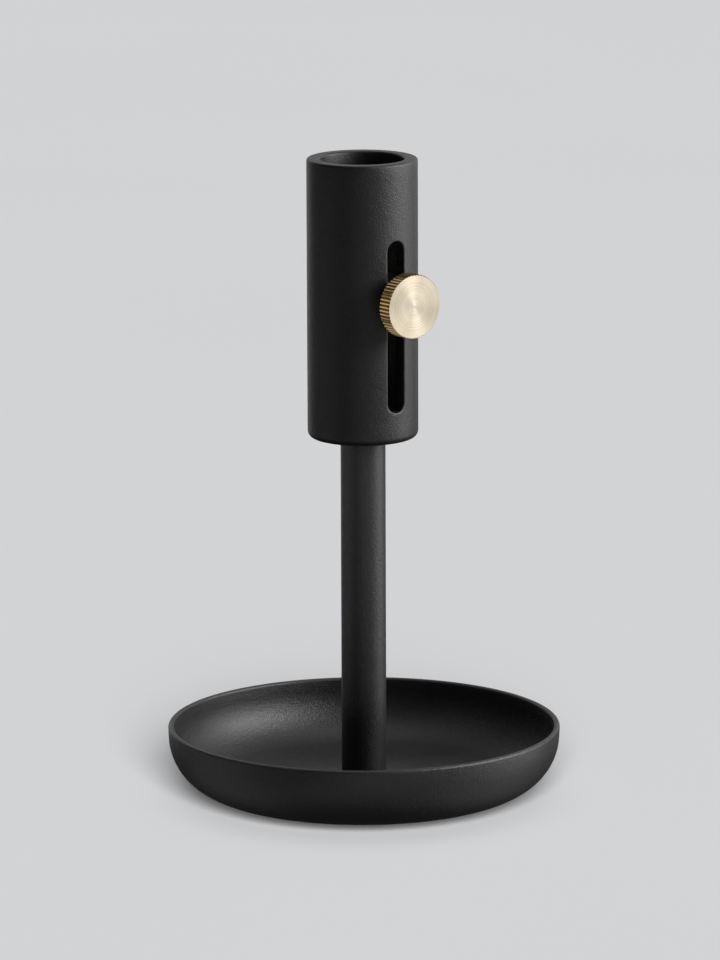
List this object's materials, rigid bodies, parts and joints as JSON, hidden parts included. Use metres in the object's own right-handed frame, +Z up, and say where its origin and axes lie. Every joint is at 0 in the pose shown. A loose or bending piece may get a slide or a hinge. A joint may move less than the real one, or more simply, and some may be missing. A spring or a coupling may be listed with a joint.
{
  "type": "candlestick",
  "caption": "Candlestick with a round drip dish, a slim stem and a slotted tube, in which a knurled thumb knob lifts and clamps the platform under a dinner candle.",
  "frame": {"origin": "centre of the resting face, under the felt ring", "axes": "+Z up along the stem and the candle; the slot and the knob face -Y"},
  "size_m": [0.107, 0.107, 0.1767],
  "materials": {
    "black_powder_coat": "fine-textured matt black powder coat on steel",
    "turned_brass": "turned, unlacquered, with concentric tool marks on the face and a straight knurl",
    "zinc_plated_steel": "zinc-plated screws, washer and piston",
    "grey_felt": "pressed wool felt with an adhesive back",
    "black_nylon": "plain moulded washer"
  },
  "bodies": {
    "base": {"felt_ring": "grey_felt", "drip_dish": "black_powder_coat", "base_washer": "zinc_plated_steel", "base_screw": "zinc_plated_steel", "stem": "black_powder_coat", "tube_plug": "black_powder_coat", "stem_screw": "zinc_plated_steel", "candle_tube": "black_powder_coat"},
    "platform": {"candle_platform": "zinc_plated_steel"},
    "clamp": {"clamp_washer": "black_nylon"},
    "knob": {"knob_stud": "zinc_plated_steel", "knob": "turned_brass"}
  },
  "joints": [
    {"name": "platform_slide", "type": "slide", "parent": "base", "child": "platform", "axis": [0, 0, 1], "range_m": [-0.0274, 0.0139]},
    {"name": "clamp_travel", "type": "slide", "parent": "platform", "child": "clamp", "axis": [0, -1, 0], "range_m": [0, 0.0008]},
    {"name": "knob_turn", "type": "hinge", "parent": "clamp", "child": "knob", "pos_m": [0, 0, 0.13925], "axis": [0, -1, 0], "range_deg": [0, 360]}
  ],
  "couplings": [
    {"joint": "knob_turn", "follows": "clamp_travel", "rad_per_m": 7854}
  ]
}
